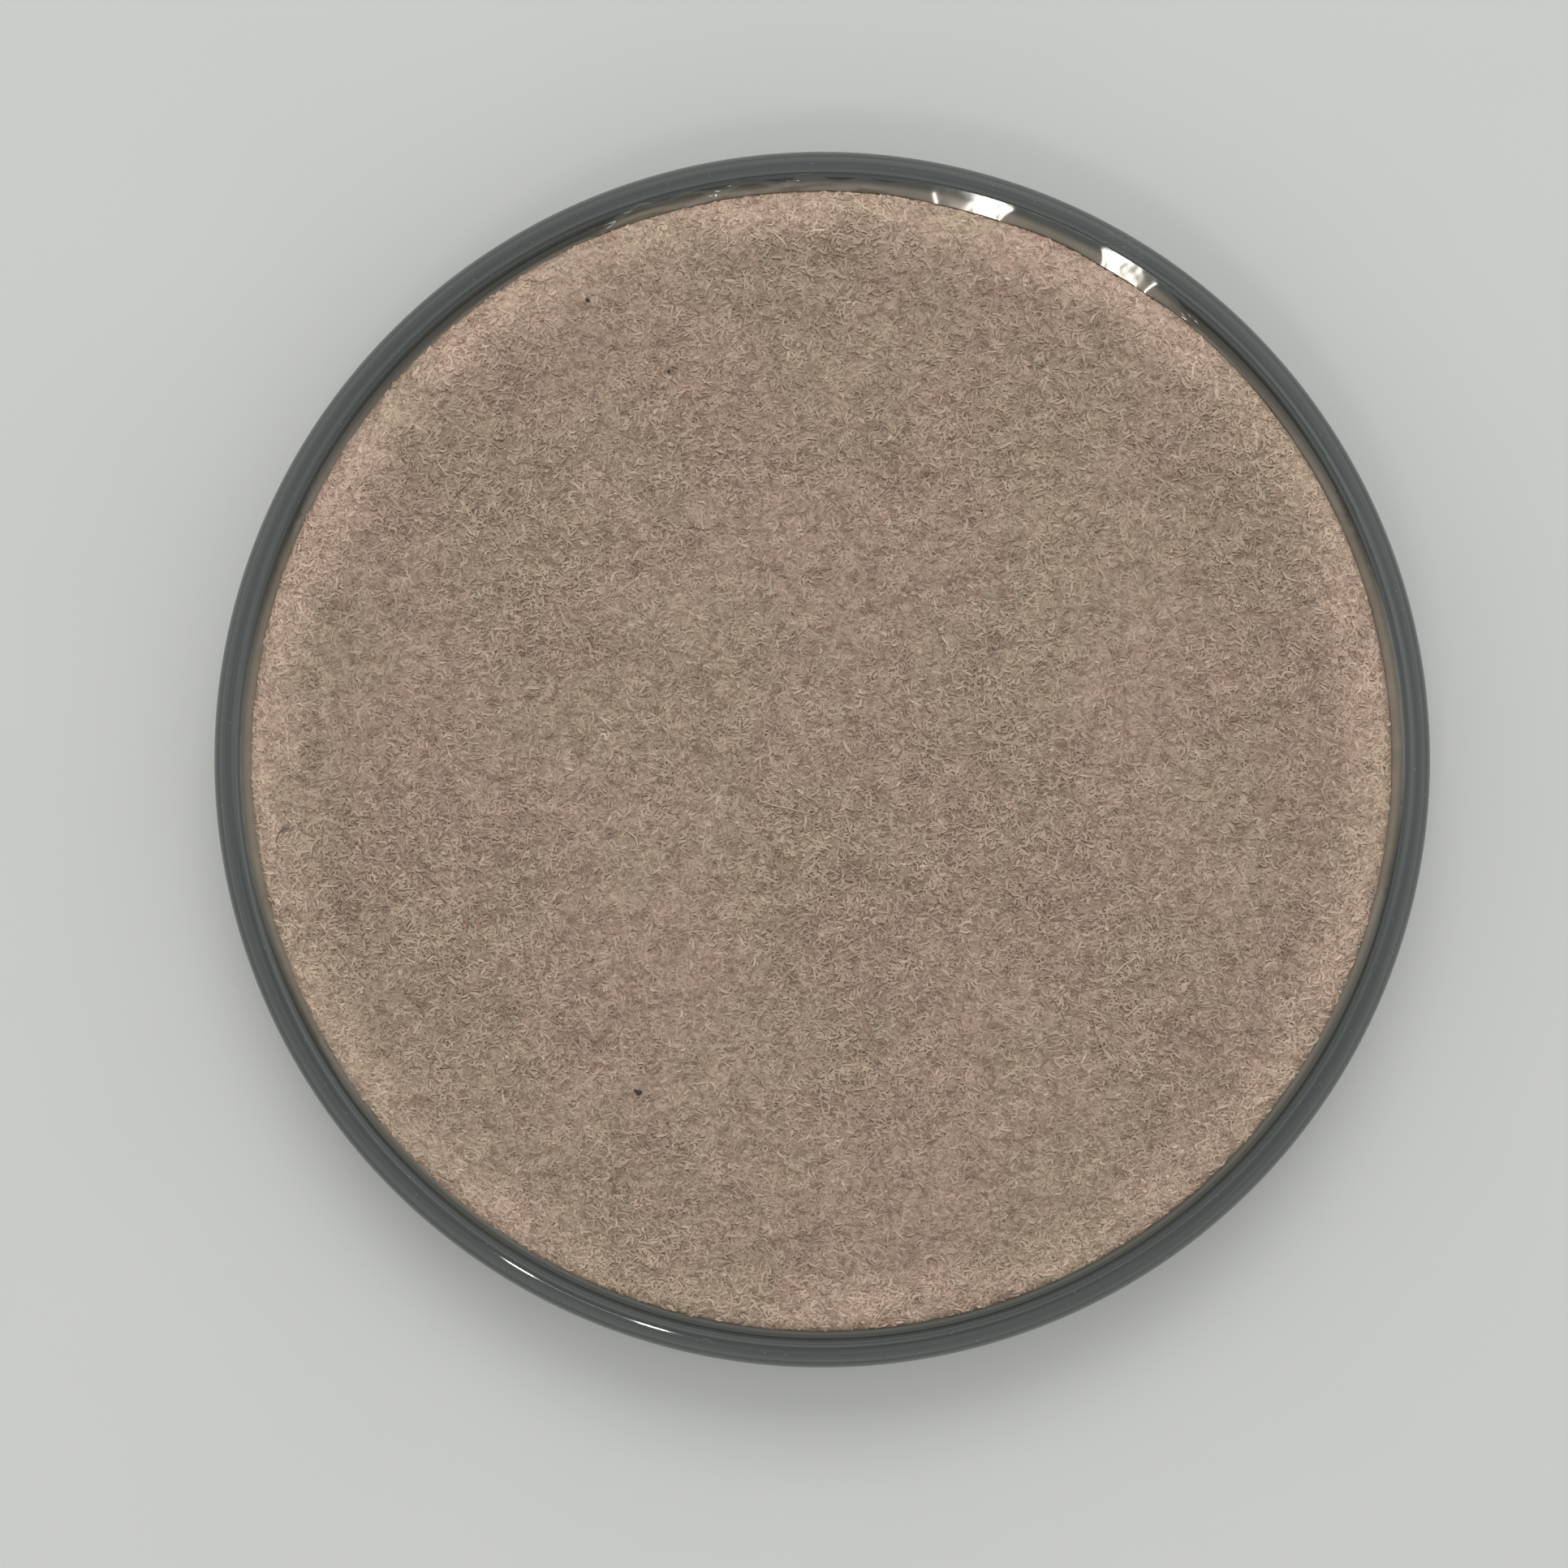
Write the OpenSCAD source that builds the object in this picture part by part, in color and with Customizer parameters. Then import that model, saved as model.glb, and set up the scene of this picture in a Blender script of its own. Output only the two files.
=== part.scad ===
// Felt polishing wheel. A shallow moulded cup with a rounded lip holds a disc of pressed wool
// felt on a steel plate, and a riveted hub with a blind thread carries the wheel on its spindle.
// The wheel stands on its foot ring: the origin is the centre of the foot plane, and +Z points
// out of the felt face.

/* [Wheel] */
// Outside diameter of the wheel
wheel_d = 50; // [46:0.5:58]
// Height of the lip's crest above the foot plane
lip_h = 5; // [4.8:0.1:6.5]

/* [Cup] */
// Thickness of the cup's wall at the lip
lip_t = 1.3; // [1.1:0.05:1.6]
// Rounding radius on the lip's inner side
lip_round_in = 0.3; // [0.15:0.05:0.45]
// Rounding radius at the foot's outer edge
foot_round = 0.4; // [0.2:0.05:0.6]
// Thickness of the skirt below the cup's floor
skirt_t = 1.6; // [1.6:0.1:2.2]
// Height of the floor's underside above the foot plane
under_h = 1.2; // [1.2:0.1:1.6]
// Thickness of the cup's floor
floor_t = 0.9; // [0.8:0.05:1]
// Number of radial ribs under the floor
rib_count = 12; // [6:1:18]
// Thickness of a rib
rib_t = 0.8; // [0.6:0.1:1]
// Height of the ribs' lower edges above the foot plane
rib_foot = 0.35; // [0.2:0.05:0.6]
// Radius of the ring that ties the ribs together
rib_ring_r = 16; // [13:0.5:19]

/* [Felt] */
// Height of the working face above the lip's crest
felt_stand = 0.5; // [0.3:0.1:1]
// Width of the glue-filled gap between the felt and the cup's wall
felt_gap = 0.3; // [0.3:0.05:0.6]
// Width of the felt's rounded shoulder
shoulder_w = 2.5; // [1.8:0.1:3.2]
// Fall of the shoulder from the working face to the felt's side
shoulder_drop = 1; // [0.6:0.1:1.2]

/* [Plate and glue] */
// Thickness of the steel plate under the felt
plate_t = 0.6; // [0.5:0.05:0.7]
// Thickness of the glue film between plate and felt
glue_t = 0.1; // [0.05:0.05:0.15]
// Depth of the glue bead's crown below the lip's crest
bead_depth = 0.42; // [0.35:0.01:0.6]

/* [Hub] */
// Diameter of the thread's inner wall: 5 for M6 x 1, 4.2 for M5 x 0.8
thread_bore_d = 5; // [4.2, 5]
// Diameter of the bush's barrel
bush_d = 8; // [7.5:0.1:8.5]
// Diameter of the bush's collar
collar_d = 10.4; // [10:0.1:10.6]
// Diameter of the riveted flange
flange_d = 17; // [16.8:0.1:17.4]
// Thickness of the flange
flange_t = 0.7; // [0.6:0.05:0.7]
// Diameter of a rivet's shank
rivet_d = 1.5; // [1.2:0.1:1.6]
// Diameter of the circle that the rivets stand on
rivet_circle_d = 13.6; // [13.5:0.05:13.7]

/* [Hidden] */
$fn = 128;

rivet_count = 4;
running_gap = 0.05;
rivet_gap = 0.03;
bite = 0.05;
outer_r = wheel_d / 2;
wall_r = outer_r - lip_t;
crest_r = wall_r + lip_round_in;
lip_round_out = outer_r - crest_r;
skirt_r = outer_r - skirt_t;

floor_top = under_h + floor_t;
plate_top = floor_top + plate_t;
glue_top = plate_top + glue_t;
felt_top = lip_h + felt_stand;
felt_r = wall_r - felt_gap;
plate_r = felt_r - 0.1;

collar_foot = 0.1;
flange_foot = under_h - flange_t;
bush_top = plate_top + 0.9;
bush_roof = 0.4;
bush_chamfer = 0.3;
mouth_chamfer = 0.25;
bush_hole_r = bush_d / 2 + running_gap;
bush_pocket_r = bush_d / 2 + 0.2;
bush_pocket_top = bush_top + 0.1;

rivet_r = rivet_d / 2;
rivet_hole_r = rivet_r + rivet_gap;
dome_r = 1.3;
dome_h = flange_foot - collar_foot;
sink_h = 0.4;
sink_r = rivet_r + 0.45;
rib_in_r = flange_d / 2 + 0.6;

cup_colour = [0.28, 0.31, 0.31];
felt_colour = [0.59, 0.52, 0.46];
glue_colour = [0.8, 0.74, 0.6];
steel_colour = [0.68, 0.69, 0.7];
brass_colour = [0.8, 0.66, 0.36];

// A disc or ring between two heights
module ring(z_low, z_high, r_out, r_in) {
    translate([0, 0, z_low])
        difference() {
            cylinder(h = z_high - z_low, r = r_out);
            translate([0, 0, -1])
                cylinder(h = z_high - z_low + 2, r = r_in);
        }
}

// Places its children at each rivet
module at_rivets() {
    for (i = [1 : rivet_count])
        at_rivet(i)
            children();
}

module at_rivet(number) {
    rotate([0, 0, (number - 0.5) * 360 / rivet_count])
        translate([rivet_circle_d / 2, 0, 0])
            children();
}

// Straight hole for a rivet's shank, through everything
module rivet_hole() {
    cylinder(h = lip_h, r = rivet_hole_r, $fn = 48);
}

// Half section of the cup's lip: a large rounding outside the crest and a small one inside it
module lip_section() {
    round_z = lip_h - lip_round_out;
    intersection() {
        translate([crest_r, round_z])
            circle(r = lip_round_out);
        translate([crest_r, round_z])
            square(lip_round_out);
    }
    translate([crest_r, lip_h - lip_round_in])
        circle(r = lip_round_in, $fn = 48);
    translate([wall_r, round_z])
        square([lip_round_in, lip_round_out - lip_round_in]);
}

// Half section of the foot: the skirt, rounded at its outer lower edge
module foot_section() {
    translate([skirt_r, 0])
        square([skirt_t - foot_round, under_h + bite]);
    translate([outer_r - foot_round, foot_round])
        circle(r = foot_round, $fn = 48);
}

module cup_section() {
    lip_section();
    foot_section();
    translate([wall_r, foot_round])
        square([lip_t, lip_h - lip_round_out - foot_round]);
    translate([bush_hole_r, under_h])
        square([wall_r - bush_hole_r + bite, floor_t]);
    translate([rib_ring_r - rib_t / 2, rib_foot])
        square([rib_t, under_h - rib_foot + bite]);
}

module ribs() {
    for (i = [0 : rib_count - 1])
        rotate([0, 0, (i + 0.5) * 360 / rib_count])
            translate([rib_in_r, -rib_t / 2, rib_foot])
                cube([skirt_r - rib_in_r + 0.3, rib_t, under_h - rib_foot + bite]);
}

// Glossy moulded cup: lip, wall, floor, foot ring and ribs in one moulding
module rim_cup() {
    color(cup_colour)
        difference() {
            union() {
                rotate_extrude()
                    cup_section();
                ribs();
            }
            at_rivets()
                rivet_hole();
        }
}

// Flat steel disc that keeps the felt level, countersunk on top for the rivets
module backing_plate() {
    color(steel_colour)
        difference() {
            ring(floor_top, plate_top, plate_r, bush_hole_r);
            at_rivets() {
                rivet_hole();
                translate([0, 0, plate_top - sink_h])
                    cylinder(h = sink_h, r1 = rivet_hole_r, r2 = sink_r + rivet_gap, $fn = 48);
            }
        }
}

// Stamped flange under the cup's floor
module hub_flange() {
    color(steel_colour)
        difference() {
            ring(flange_foot, under_h, flange_d / 2, bush_d / 2);
            at_rivets()
                rivet_hole();
        }
}

// Half section of the bush: collar, barrel and chamfered closed end
module bush_section() {
    translate([0, collar_foot])
        square([collar_d / 2, flange_foot - collar_foot]);
    polygon([
        [0, collar_foot],
        [bush_d / 2, collar_foot],
        [bush_d / 2, bush_top - bush_chamfer],
        [bush_d / 2 - bush_chamfer, bush_top],
        [0, bush_top]
    ]);
}

// Turned bush with a blind thread, drawn at the thread's inner wall
module threaded_bush() {
    bore_r = thread_bore_d / 2;
    color(brass_colour)
        difference() {
            rotate_extrude()
                bush_section();
            translate([0, 0, collar_foot - bite])
                cylinder(h = bush_top - bush_roof - collar_foot + bite, r = bore_r);
            translate([0, 0, collar_foot - bite])
                cylinder(h = mouth_chamfer + bite, r1 = bore_r + mouth_chamfer + bite, r2 = bore_r);
        }
}

// Half section of a rivet: domed head below, shank, countersunk head flush with the plate
module rivet_section() {
    ball_r = (dome_r * dome_r + dome_h * dome_h) / (2 * dome_h);
    intersection() {
        translate([0, collar_foot + ball_r])
            circle(r = ball_r);
        translate([0, collar_foot])
            square([dome_r, dome_h]);
    }
    polygon([
        [0, flange_foot - dome_h / 2],
        [rivet_r, flange_foot - dome_h / 2],
        [rivet_r, plate_top - sink_h],
        [sink_r, plate_top],
        [0, plate_top]
    ]);
}

module hub_rivet(number) {
    color(steel_colour)
        at_rivet(number)
            rotate_extrude($fn = 64)
                rivet_section();
}

// Glue film between plate and felt
module face_adhesive() {
    color(glue_colour)
        ring(plate_top, glue_top, plate_r, bush_pocket_r);
}

// Glue squeezed up between the felt's side and the cup's wall, with a round crown
module adhesive_bead() {
    crown_r = felt_gap / 2;
    crown_z = lip_h - bead_depth - crown_r;
    color(glue_colour)
        rotate_extrude() {
            translate([felt_r, glue_top])
                square([felt_gap, crown_z - glue_top]);
            translate([felt_r + crown_r, crown_z])
                circle(r = crown_r, $fn = 48);
        }
}

// Half section of the felt: flat working face and an arc over the shoulder
module felt_section() {
    flat_r = felt_r - shoulder_w;
    arc_r = (shoulder_w * shoulder_w + shoulder_drop * shoulder_drop) / (2 * shoulder_drop);
    translate([0, glue_top])
        square([flat_r, felt_top - glue_top]);
    intersection() {
        translate([flat_r, felt_top - arc_r])
            circle(r = arc_r);
        translate([flat_r, glue_top])
            square([shoulder_w, felt_top - glue_top]);
    }
}

// Pressed wool disc, with a pocket in its back for the bush's closed end
module felt_face() {
    color(felt_colour)
        difference() {
            rotate_extrude()
                felt_section();
            translate([0, 0, glue_top - bite])
                cylinder(h = bush_pocket_top - glue_top + bite, r = bush_pocket_r);
        }
}

rim_cup();
backing_plate();
hub_flange();
threaded_bush();
hub_rivet(1);  // hub_rivet_1
hub_rivet(2);  // hub_rivet_2
hub_rivet(3);  // hub_rivet_3
hub_rivet(4);  // hub_rivet_4
face_adhesive();
adhesive_bead();
felt_face();
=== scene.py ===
import math

import bpy
import numpy as np
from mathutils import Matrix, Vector, noise


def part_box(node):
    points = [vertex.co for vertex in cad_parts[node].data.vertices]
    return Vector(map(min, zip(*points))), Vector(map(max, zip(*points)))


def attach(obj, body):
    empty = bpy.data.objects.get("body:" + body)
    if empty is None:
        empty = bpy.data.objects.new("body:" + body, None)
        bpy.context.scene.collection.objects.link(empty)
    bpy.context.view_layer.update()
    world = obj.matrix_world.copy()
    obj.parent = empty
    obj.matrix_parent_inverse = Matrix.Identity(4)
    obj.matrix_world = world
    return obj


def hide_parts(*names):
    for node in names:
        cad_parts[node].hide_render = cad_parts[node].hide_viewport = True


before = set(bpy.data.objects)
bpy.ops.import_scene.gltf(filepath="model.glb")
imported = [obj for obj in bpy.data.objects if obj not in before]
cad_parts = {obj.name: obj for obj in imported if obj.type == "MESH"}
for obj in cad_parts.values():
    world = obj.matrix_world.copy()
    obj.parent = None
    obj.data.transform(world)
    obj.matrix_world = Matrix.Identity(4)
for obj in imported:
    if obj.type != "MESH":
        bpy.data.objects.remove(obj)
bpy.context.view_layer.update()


# Camera. It looks straight down on the felt, a little left of and below the wheel's axis, from
# about two diameters above the lip.
MM = 0.001
cup_low, cup_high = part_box("rim_cup")
WHEEL_R = cup_high.x / MM
LIP_TOP = cup_high.z / MM

camera_rise = 4.38 * WHEEL_R * MM
camera_view = 2.558 * WHEEL_R * MM
camera_data = bpy.data.cameras.new("camera")
camera_data.sensor_width = 36.0
camera_data.lens = camera_data.sensor_width * camera_rise / camera_view
camera_data.clip_start = MM
camera = bpy.data.objects.new("camera", camera_data)
camera.location = (-0.0628 * WHEEL_R * MM, -0.04 * WHEEL_R * MM, LIP_TOP * MM + camera_rise)
bpy.context.scene.collection.objects.link(camera)
bpy.context.scene.camera = camera


# Cup. One injection moulding in glossy dark-grey plastic: rounded lip, wall, floor, foot ring
# and radial ribs. The round parts are turned from one section, and the ribs and the rivet holes
# are joined and cut as the mould forms them.
FLOOR_UNDER = 1.2
FLOOR_TOP = 2.1
LIP_INNER = WHEEL_R - 1.3
LIP_ROUND_IN = 0.3
LIP_ROUND_OUT = WHEEL_R - LIP_INNER - LIP_ROUND_IN
SKIRT_INNER = WHEEL_R - 1.6
RIB_COUNT = 12
RIB_START = 9.1
RIB_FOOT = 0.35
RIB_T = 0.8
RING_R = 16.0
HUB_HOLE = 4.05
RIVET_COUNT = 4
RIVET_CIRCLE = 6.8
RIVET_R = 0.75
RIVET_HOLE = RIVET_R + 0.03
SCUFF_AT = (12.1, 20.9, LIP_TOP)
AROUND = 720


def rounded(corners, steps=6):
    """Closed outline in mm through (x, y, corner radius) points, with an arc at each corner."""
    path = []
    for i, (x, y, radius) in enumerate(corners):
        here = Vector((x, y))
        back = (Vector(corners[i - 1][:2]) - here).normalized()
        ahead = (Vector(corners[(i + 1) % len(corners)][:2]) - here).normalized()
        if radius <= 0:
            path.append((x, y))
            continue
        half = back.angle(ahead) / 2
        centre = here + (back + ahead).normalized() * (radius / math.sin(half))
        start = here + back * (radius / math.tan(half)) - centre
        sweep = math.pi - 2 * half
        turn = -sweep if back.x * ahead.y - back.y * ahead.x > 0 else sweep
        count = max(2, round(steps * sweep / (math.pi / 2) * max(1, radius / 0.3)))
        for k in range(count + 1):
            angle = turn * k / count
            path.append((
                centre.x + start.x * math.cos(angle) - start.y * math.sin(angle),
                centre.y + start.x * math.sin(angle) + start.y * math.cos(angle),
            ))
    return path


def mesh_piece(name, verts, faces, sharp=35):
    """A new smooth-shaded piece from points in mm, with edges over `sharp` degrees left crisp."""
    mesh = bpy.data.meshes.new(name)
    mesh.from_pydata([(x * MM, y * MM, z * MM) for x, y, z in verts], [], faces)
    mesh.update()
    mesh.shade_smooth()
    if sharp:
        mesh.set_sharp_from_angle(angle=math.radians(sharp))
    piece = bpy.data.objects.new(name, mesh)
    bpy.context.scene.collection.objects.link(piece)
    return piece


def turned(name, outline, around=AROUND, sharp=35):
    """Turns a closed (radius, height) outline round the axis. Points on the axis become poles."""
    verts, rings = [], []
    for r, z in outline:
        on_axis = r < 1e-6
        rings.append((len(verts), on_axis))
        for k in range(1 if on_axis else around):
            angle = 2 * math.pi * k / around
            verts.append((r * math.cos(angle), r * math.sin(angle), z))
    faces = []
    for (a, a_pole), (b, b_pole) in zip(rings, rings[1:] + rings[:1]):
        if a_pole and b_pole:
            continue
        for k in range(around):
            n = (k + 1) % around
            if a_pole:
                faces.append((a, b + n, b + k))
            elif b_pole:
                faces.append((a + k, a + n, b))
            else:
                faces.append((a + k, a + n, b + n, b + k))
    return mesh_piece(name, verts, faces, sharp)


def cut_or_join(piece, tool, operation):
    """Applies a boolean with another piece, and removes that piece."""
    modifier = piece.modifiers.new("boolean", "BOOLEAN")
    modifier.object = tool
    modifier.operation = operation
    modifier.solver = "MANIFOLD"
    bpy.context.view_layer.update()
    result = bpy.data.meshes.new_from_object(piece.evaluated_get(bpy.context.evaluated_depsgraph_get()))
    piece.modifiers.clear()
    piece.data = result
    result.shade_smooth()
    result.set_sharp_from_angle(angle=math.radians(35))
    bpy.data.objects.remove(tool)


def rib_bars():
    """All ribs as one tool: bars with rounded free edges and flared roots, from hub to skirt."""
    section = rounded([
        (-RIB_T / 2 - 0.35, FLOOR_UNDER + 0.2, 0),
        (-RIB_T / 2 - 0.2, FLOOR_UNDER, 0),
        (-RIB_T / 2, FLOOR_UNDER - 0.2, 0.1),
        (-RIB_T / 2, RIB_FOOT, 0.12),
        (RIB_T / 2, RIB_FOOT, 0.12),
        (RIB_T / 2, FLOOR_UNDER - 0.2, 0.1),
        (RIB_T / 2 + 0.2, FLOOR_UNDER, 0),
        (RIB_T / 2 + 0.35, FLOOR_UNDER + 0.2, 0),
    ], steps=4)
    verts, faces = [], []
    size = len(section)
    for i in range(RIB_COUNT):
        angle = (i + 0.5) * 2 * math.pi / RIB_COUNT
        first = len(verts)
        for x in (RIB_START, SKIRT_INNER + 0.3):
            for y, z in section:
                verts.append((
                    x * math.cos(angle) - y * math.sin(angle),
                    x * math.sin(angle) + y * math.cos(angle),
                    z,
                ))
        for k in range(size):
            n = (k + 1) % size
            faces.append((first + k, first + n, first + size + n, first + size + k))
        faces.append([first + k for k in reversed(range(size))])
        faces.append([first + size + k for k in range(size)])
    return mesh_piece("ribs", verts, faces)


def rivet_drills(radius):
    """Straight drills for the rivet holes, as one tool."""
    verts, faces = [], []
    sides = 48
    for i in range(RIVET_COUNT):
        angle = (i + 0.5) * 2 * math.pi / RIVET_COUNT
        first = len(verts)
        for z in (-1, LIP_TOP):
            for k in range(sides):
                a = 2 * math.pi * k / sides
                verts.append((
                    RIVET_CIRCLE * math.cos(angle) + radius * math.cos(a),
                    RIVET_CIRCLE * math.sin(angle) + radius * math.sin(a),
                    z,
                ))
        for k in range(sides):
            n = (k + 1) % sides
            faces.append((first + k, first + n, first + sides + n, first + sides + k))
        faces.append([first + k for k in reversed(range(sides))])
        faces.append([first + sides + k for k in range(sides)])
    return mesh_piece("drills", verts, faces)


def put(tree, kind, inputs=None, **settings):
    """Adds a node. An input given as a socket is linked, and any other value is set."""
    node = tree.nodes.new(kind)
    for key, value in settings.items():
        setattr(node, key, value)
    for key, value in (inputs or {}).items():
        if isinstance(value, bpy.types.NodeSocket):
            tree.links.new(value, node.inputs[key])
        else:
            node.inputs[key].default_value = value
    return node


def maths(tree, operation, a, b=0.0, c=0.0):
    """One step of arithmetic on sockets or numbers."""
    return put(tree, "ShaderNodeMath", {0: a, 1: b, 2: c}, operation=operation).outputs[0]


def ramp(tree, factor, low, high, to_low=0.0, to_high=1.0):
    """Maps low..high smoothly to to_low..to_high, and holds it outside."""
    inputs = {"Value": factor, 1: low, 2: high, 3: to_low, 4: to_high}
    return put(tree, "ShaderNodeMapRange", inputs, interpolation_type="SMOOTHSTEP").outputs[0]


def mixed(tree, factor, a, b, blend="MIX"):
    """Two colours blended by a factor."""
    inputs = {0: factor, 6: a, 7: b}
    return put(tree, "ShaderNodeMix", inputs, data_type="RGBA", blend_type=blend).outputs[2]


def group(name, inputs, outputs):
    """A shader node group with named sockets. Its inputs are (name, type, default)."""
    tree = bpy.data.node_groups.new(name, "ShaderNodeTree")
    for label, kind, value in inputs:
        tree.interface.new_socket(label, in_out="INPUT", socket_type=kind).default_value = value
    for label, kind in outputs:
        tree.interface.new_socket(label, in_out="OUTPUT", socket_type=kind)
    return tree, tree.nodes.new("NodeGroupInput").outputs, tree.nodes.new("NodeGroupOutput").inputs


def place_in_mm(tree):
    """Object coordinates, scaled so that one unit of a pattern is a millimetre."""
    place = put(tree, "ShaderNodeTexCoord").outputs["Object"]
    inputs = {0: place, 1: (1 / MM, 1 / MM, 1 / MM)}
    return put(tree, "ShaderNodeVectorMath", inputs, operation="MULTIPLY").outputs[0]


def off_axis(tree, place):
    """The vector from the wheel's axis to a place in mm, and its length."""
    flat = put(tree, "ShaderNodeVectorMath", {0: place, 1: (1, 1, 0)}, operation="MULTIPLY").outputs[0]
    return flat, put(tree, "ShaderNodeVectorMath", {0: flat}, operation="LENGTH").outputs["Value"]


def hairline_group():
    """Short scratches gathered in patches, specks of dust, and faint rings round the axis."""
    tree, given, out = group(
        "hairlines",
        [("Length", "NodeSocketFloat", 1.0), ("Cover", "NodeSocketFloat", 0.3)],
        [("Scratch", "NodeSocketFloat"), ("Dust", "NodeSocketFloat"), ("Streak", "NodeSocketFloat")],
    )
    place = place_in_mm(tree)
    lines = None
    for turn, stretch in ((0.4, 0.55), (1.5, 0.8), (2.6, 0.45)):
        turned_place = put(tree, "ShaderNodeMapping", {
            "Vector": place, "Rotation": (0, 0, turn), "Scale": (stretch, 14.0, 3.0),
        }).outputs[0]
        field = put(tree, "ShaderNodeTexNoise", {
            "Vector": turned_place, "Scale": given["Length"], "Detail": 2.0, "Roughness": 0.6,
        }).outputs["Fac"]
        edge = maths(tree, "ABSOLUTE", maths(tree, "SUBTRACT", field, 0.5))
        line = ramp(tree, edge, 0.0, 0.006, 1.0, 0.0)
        lines = line if lines is None else maths(tree, "MAXIMUM", lines, line)
    patch = put(tree, "ShaderNodeTexNoise", {"Vector": place, "Scale": 0.35, "Detail": 3.0}).outputs["Fac"]
    patch = ramp(tree, maths(tree, "ADD", patch, given["Cover"]), 0.78, 0.95)
    tree.links.new(maths(tree, "MULTIPLY", lines, patch), out["Scratch"])
    specks = put(tree, "ShaderNodeTexVoronoi", {"Vector": place, "Scale": 2.2}).outputs["Distance"]
    tree.links.new(ramp(tree, specks, 0.03, 0.07, 1.0, 0.0), out["Dust"])
    flat, reach = off_axis(tree, place)
    toward = put(tree, "ShaderNodeVectorMath", {0: flat}, operation="NORMALIZE").outputs[0]
    rise = put(tree, "ShaderNodeCombineXYZ", {2: maths(tree, "MULTIPLY", reach, 7.0)}).outputs[0]
    ringed = put(tree, "ShaderNodeVectorMath", {0: toward, 1: rise}, operation="ADD").outputs[0]
    streak = put(tree, "ShaderNodeTexNoise", {"Vector": ringed, "Scale": 1.0, "Detail": 3.0})
    tree.links.new(ramp(tree, streak.outputs["Fac"], 0.35, 0.65), out["Streak"])
    return tree


def finish(name, colour, roughness, metallic=0.0):
    """A new material: its node tree and its Principled shader, with the even values set."""
    material = bpy.data.materials.new(name)
    material.use_nodes = True
    shader = material.node_tree.nodes["Principled BSDF"]
    shader.inputs["Base Color"].default_value = (*colour, 1.0)
    shader.inputs["Roughness"].default_value = roughness
    shader.inputs["Metallic"].default_value = metallic
    return material, material.node_tree, shader


def bump(tree, shader, height, distance):
    """Fine relief under a shader, `distance` mm deep."""
    inputs = {"Height": height, "Distance": distance * MM}
    tree.links.new(put(tree, "ShaderNodeBump", inputs).outputs[0], shader.inputs["Normal"])


def dress(piece, material):
    """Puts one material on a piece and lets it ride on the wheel."""
    piece.data.materials.clear()
    piece.data.materials.append(material)
    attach(piece, "root")


cup = turned("cup_moulding", rounded([
    (HUB_HOLE, FLOOR_UNDER, 0.08),
    (RING_R - RIB_T / 2, FLOOR_UNDER, 0.15),
    (RING_R - RIB_T / 2, RIB_FOOT, 0.12),
    (RING_R + RIB_T / 2, RIB_FOOT, 0.12),
    (RING_R + RIB_T / 2, FLOOR_UNDER, 0.15),
    (SKIRT_INNER, FLOOR_UNDER, 0.2),
    (SKIRT_INNER, 0, 0.1),
    (WHEEL_R, 0, 0.4),
    (WHEEL_R, LIP_TOP, LIP_ROUND_OUT),
    (LIP_INNER, LIP_TOP, LIP_ROUND_IN),
    (LIP_INNER, FLOOR_TOP, 0.08),
    (HUB_HOLE, FLOOR_TOP, 0.08),
]))
cut_or_join(cup, rib_bars(), "UNION")
cut_or_join(cup, rivet_drills(RIVET_HOLE), "DIFFERENCE")
hairlines = hairline_group()

cup_material, tree, shader = finish("gloss_cup", (0.064, 0.068, 0.065), 0.07)
scuff = put(tree, "ShaderNodeVectorMath", {0: place_in_mm(tree), 1: SCUFF_AT},
            operation="DISTANCE").outputs["Value"]
cover = ramp(tree, scuff, 0.5, 1.6, 0.5, 0.08)
marks = put(tree, "ShaderNodeGroup", {"Length": 0.8, "Cover": cover}, node_tree=hairlines).outputs
tint = mixed(tree, marks["Streak"], (0.040, 0.046, 0.044, 1), (0.054, 0.060, 0.058, 1))
tint = mixed(tree, maths(tree, "MULTIPLY", marks["Scratch"], 0.5), tint, (0.3, 0.31, 0.3, 1))
tint = mixed(tree, maths(tree, "MULTIPLY", marks["Dust"], 0.35), tint, (0.42, 0.42, 0.4, 1))
tree.links.new(tint, shader.inputs["Base Color"])
rough = maths(tree, "MULTIPLY_ADD", marks["Streak"], 0.05, 0.05)
rough = maths(tree, "ADD", rough, maths(tree, "MULTIPLY", marks["Scratch"], 0.3))
tree.links.new(rough, shader.inputs["Roughness"])
bump(tree, shader, marks["Scratch"], -0.004)
dress(cup, cup_material)
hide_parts("rim_cup")


# Backing plate and glue film. The plate is a flat disc of cold-rolled steel that lies on the
# cup's floor, and the film is contact glue rolled over it. Both are sealed under the felt.
plate_material, tree, shader = finish("rolled_steel", (0.46, 0.47, 0.48), 0.38, 1.0)
rolling = put(tree, "ShaderNodeMapping", {"Vector": place_in_mm(tree), "Scale": (0.4, 18.0, 1.0)})
streaks = put(tree, "ShaderNodeTexNoise", {"Vector": rolling.outputs[0], "Scale": 1.0, "Detail": 4.0})
tint = mixed(tree, streaks.outputs["Fac"], (0.40, 0.41, 0.42, 1), (0.52, 0.53, 0.54, 1))
tree.links.new(tint, shader.inputs["Base Color"])
bump(tree, shader, streaks.outputs["Fac"], 0.006)
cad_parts["backing_plate"].material_slots[0].material = plate_material

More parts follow.
